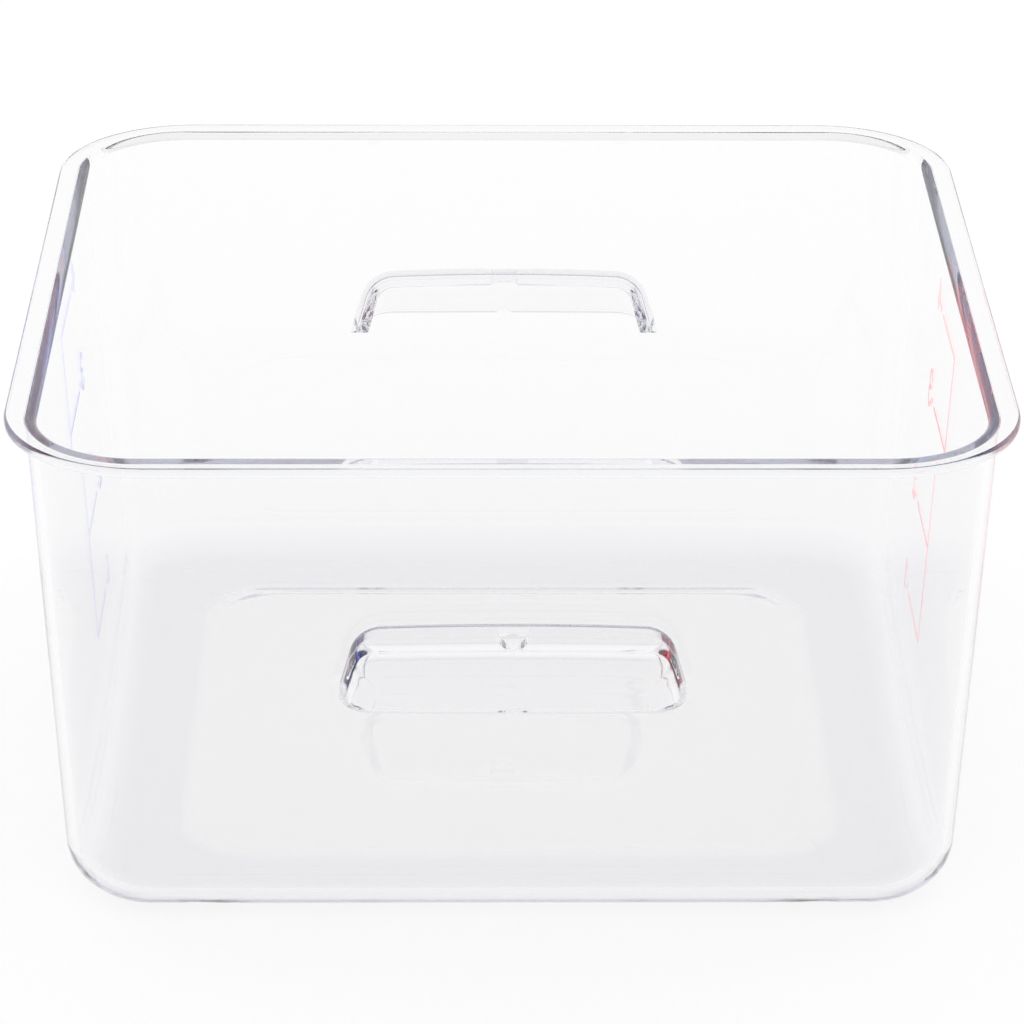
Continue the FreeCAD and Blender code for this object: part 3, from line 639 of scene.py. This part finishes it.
def polycarbonate_material(shell, plastic):
    """Clear plastic: each face tints a little, and long paths darken to blue; the foot ring carries a
    darker tint, painted shade where the pan stands on the floor.
    """
    material, tree, shader = new_material("clear_polycarbonate")
    where = tree.nodes.new("ShaderNodeTexCoord")
    ring_shade = tree.nodes.new("ShaderNodeGroup")
    ring_shade.node_tree = ring_shade_mask_group()
    ring_shade.inputs["Half size"].default_value = (shell.panel_half_width, shell.panel_half_depth, 0.0)
    ring_shade.inputs["Corner"].default_value = shell.panel_corner
    ring_shade.inputs["Top"].default_value = shell.floor_round
    # The plastic's own tint, mixed on the foot ring towards the darker ring tint, which is painted shade.
    tint = tree.nodes.new("ShaderNodeMix")
    tint.data_type = "RGBA"
    tint.inputs["A"].default_value = (*plastic.tint, 1.0)
    tint.inputs["B"].default_value = (*plastic.ring_tint_and_painted_shade, 1.0)
    wear = tree.nodes.new("ShaderNodeGroup")
    wear.node_tree = scratches_group()
    tree.links.new(where.outputs["Object"], ring_shade.inputs["Vector"])
    tree.links.new(where.outputs["Object"], wear.inputs["Vector"])
    tree.links.new(ring_shade.outputs["Mask"], tint.inputs["Factor"])
    tree.links.new(tint.outputs["Result"], shader.inputs["Base Color"])
    tree.links.new(wear.outputs["Roughness"], shader.inputs["Roughness"])
    shader.inputs["IOR"].default_value = plastic.refraction
    shader.inputs["Transmission Weight"].default_value = 1.0
    absorb = tree.nodes.new("ShaderNodeVolumeAbsorption")
    absorb.inputs["Color"].default_value = (*plastic.body_colour, 1.0)
    absorb.inputs["Density"].default_value = plastic.density
    tree.links.new(absorb.outputs["Volume"], tree.get_output_node("ALL").inputs["Volume"])
    return material


def mottle_group():
    """How thick printed ink lies, from 0 to 1: fine grains, thinner in patches where it has been rubbed."""
    group, start, end = node_group("mottle", (("Vector", "Vector"),), (("Cover", "Float"),))
    cover = 1.0
    for scale, depth in INK_GRAINS:
        grain = group.nodes.new("ShaderNodeTexNoise")
        grain.inputs["Scale"].default_value = scale
        group.links.new(start.outputs["Vector"], grain.inputs["Vector"])
        worn = value_step(group, "MULTIPLY", grain.outputs["Fac"], depth)
        cover = value_step(group, "SUBTRACT", cover, worn)
    group.links.new(cover, end.inputs["Cover"])
    return group


def ink_material(name, tint):
    """Printed ink, paler and duller where it lies thin, that glows in its own colour: painted light that
    stands in for the light coming through it.
    """
    material, tree, shader = new_material(name)
    where = tree.nodes.new("ShaderNodeTexCoord")
    mottle = tree.nodes.new("ShaderNodeGroup")
    mottle.node_tree = mottle_group()
    thickness = tree.nodes.new("ShaderNodeMix")
    thickness.data_type = "RGBA"
    thickness.inputs["A"].default_value = (*(INK_PALER + (1 - INK_PALER) * part for part in tint), 1.0)
    thickness.inputs["B"].default_value = (*tint, 1.0)
    tree.links.new(where.outputs["Object"], mottle.inputs["Vector"])
    cover = value_step(tree, "MULTIPLY", mottle.outputs["Cover"], INK_CONTRAST)
    tree.links.new(cover, thickness.inputs["Factor"])
    tree.links.new(thickness.outputs["Result"], shader.inputs["Base Color"])
    # Painted light: the ink glows in its own colour.
    tree.links.new(thickness.outputs["Result"], shader.inputs["Emission Color"])
    sheen = value_step(tree, "MULTIPLY", mottle.outputs["Cover"], INK_SHEEN)
    dull = value_step(tree, "SUBTRACT", INK_DULLEST, sheen)
    tree.links.new(dull, shader.inputs["Roughness"])
    shader.inputs["Emission Strength"].default_value = INK_GLOW
    return material


def dress(node, material):
    """Gives a CAD node a finish, in place of the plain one it came with."""
    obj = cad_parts[node]
    obj.data.materials.clear()
    obj.data.materials.append(material)


# --- the studio -------------------------------------------------------------------------------------

def make_floor(stage):
    """A flat disc about the origin: a ring of points at the floor radius and one face."""
    turn = np.linspace(0.0, 2.0 * math.pi, FLOOR_SIDES, endpoint=False)
    rim = np.column_stack([np.cos(turn), np.sin(turn), np.zeros_like(turn)]) * stage.floor_radius
    rim[:, 2] = -FLOOR_GAP
    mesh = bpy.data.meshes.new("studio_floor")
    mesh.from_pydata(rim.tolist(), [], [list(range(len(rim)))])
    floor = bpy.data.objects.new("studio_floor", mesh)
    floor.data.materials.append(floor_material(stage))
    bpy.context.scene.collection.objects.link(floor)


def make_world(stage):
    """A studio lit from all round, a little dimmer overhead."""
    world = bpy.data.worlds.new("studio")
    world.use_nodes = True
    tree = world.node_tree
    tree.nodes.clear()
    where = tree.nodes.new("ShaderNodeTexCoord")
    split = tree.nodes.new("ShaderNodeSeparateXYZ")
    ramp = tree.nodes.new("ShaderNodeValToRGB")
    background = tree.nodes.new("ShaderNodeBackground")
    output = tree.nodes.new("ShaderNodeOutputWorld")
    tree.links.new(where.outputs["Generated"], split.inputs["Vector"])
    tree.links.new(split.outputs["Z"], ramp.inputs["Fac"])
    tree.links.new(ramp.outputs["Color"], background.inputs["Color"])
    tree.links.new(background.outputs["Background"], output.inputs["Surface"])
    stops = ramp.color_ramp.elements
    stops[0].position = 0.0
    stops[0].color = (1.0, 1.0, 1.0, 1.0)
    stops[1].position = 1.0
    stops[1].color = (0.8, 0.8, 0.8, 1.0)
    background.inputs["Strength"].default_value = stage.surroundings
    bpy.context.scene.world = world


def make_camera(stage):
    """A long lens that looks down on the front wall and into the pan."""
    low, high = CAD_BOX
    aim = (low + high) / 2 + Vector(stage.camera_aim)
    camera = bpy.data.cameras.new("camera")
    camera.lens = stage.lens
    camera.clip_start = 0.05
    camera.clip_end = 50.0
    holder = bpy.data.objects.new("camera", camera)
    upright = Euler((math.pi / 2 - stage.camera_elevation, 0.0, stage.camera_azimuth)).to_matrix()
    turned = upright @ Matrix.Rotation(stage.camera_roll, 3, "Z")
    holder.matrix_world = Matrix.LocRotScale(
        aim + upright @ Vector((0.0, 0.0, stage.camera_distance)), turned, None)
    bpy.context.scene.collection.objects.link(holder)
    bpy.context.scene.camera = holder


# --- the add-on -------------------------------------------------------------------------------------

class FOODPAN_OT_stage(bpy.types.Operator):
    """Make the floor, the light and the camera"""

    bl_idname = "foodpan.stage"
    bl_label = "Studio"

    def execute(self, context):
        settings = context.scene.foodpan_stage
        make_floor(settings)
        make_world(settings)
        make_camera(settings)
        context.scene.view_settings.view_transform = "Standard"
        cycles = context.scene.cycles
        cycles.max_bounces = settings.bounces
        cycles.transmission_bounces = settings.bounces
        cycles.glossy_bounces = settings.bounces
        cycles.diffuse_bounces = settings.matt_bounces
        return {"FINISHED"}


class FOODPAN_OT_moulding(bpy.types.Operator):
    """Mould the pan: the shell with its two hooded grips"""

    bl_idname = "foodpan.moulding"
    bl_label = "Pan moulding"

    def execute(self, context):
        shell, hood, plastic = (
            getattr(context.scene, name) for name in ("foodpan_shell", "foodpan_hood", "foodpan_plastic"))
        pan = make_shell(shell)
        pan.name = "pan_moulding"
        combine(pan, "UNION", [make_hood(hood, shell, side) for side in (-1, 1)])
        combine(pan, "DIFFERENCE", [cut for side in (-1, 1) for cut in make_hood_cuts(hood, shell, side)])
        shade(pan)
        pan.data.materials.clear()
        pan.data.materials.append(polycarbonate_material(shell, plastic))
        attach(pan, "root")
        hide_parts("pan_body")
        return {"FINISHED"}


def ink_scale(unit, tint):
    """Gives the four parts of one printed scale their ink."""
    ink = ink_material(unit + "_ink", tint)
    for part in ("stem", "lines", "dots", "numerals"):
        dress(unit + "_scale_" + part, ink)


class FOODPAN_OT_quart_scale(bpy.types.Operator):
    """Ink the quart scale on the +X wall"""

    bl_idname = "foodpan.quart_scale"
    bl_label = "Quart scale"

    def execute(self, context):
        ink_scale("quart", context.scene.foodpan_inks.quart)
        return {"FINISHED"}


class FOODPAN_OT_litre_scale(bpy.types.Operator):
    """Ink the litre scale on the -X wall"""

    bl_idname = "foodpan.litre_scale"
    bl_label = "Litre scale"

    def execute(self, context):
        ink_scale("litre", context.scene.foodpan_inks.litre)
        return {"FINISHED"}


class FOODPAN_PT_panel(bpy.types.Panel):
    """Lists the pieces of the food pan"""

    bl_idname = "FOODPAN_PT_panel"
    bl_label = "Food pan"
    bl_space_type = "VIEW_3D"
    bl_region_type = "UI"
    bl_category = "Food Pan"

    def draw(self, context):
        for operator in OPERATORS:
            self.layout.operator(operator.bl_idname)


SETTINGS = {
    "foodpan_shell": ShellSettings, "foodpan_hood": HoodSettings, "foodpan_plastic": PlasticSettings,
    "foodpan_inks": InkSettings, "foodpan_stage": StageSettings}
OPERATORS = (FOODPAN_OT_stage, FOODPAN_OT_moulding, FOODPAN_OT_quart_scale, FOODPAN_OT_litre_scale)


def register():
    """Adds the settings, the operators and the panel."""
    for item in (*SETTINGS.values(), *OPERATORS, FOODPAN_PT_panel):
        bpy.utils.register_class(item)
    for name, group in SETTINGS.items():
        setattr(bpy.types.Scene, name, bpy.props.PointerProperty(type=group))


def unregister():
    """Takes the settings, the operators and the panel away again."""
    for name in SETTINGS:
        delattr(bpy.types.Scene, name)
    for item in reversed((*SETTINGS.values(), *OPERATORS, FOODPAN_PT_panel)):
        bpy.utils.unregister_class(item)


def main():
    """Makes every piece with its operator."""
    register()
    bpy.ops.foodpan.stage()
    bpy.ops.foodpan.moulding()
    bpy.ops.foodpan.quart_scale()
    bpy.ops.foodpan.litre_scale()


if __name__ == "__main__":
    main()
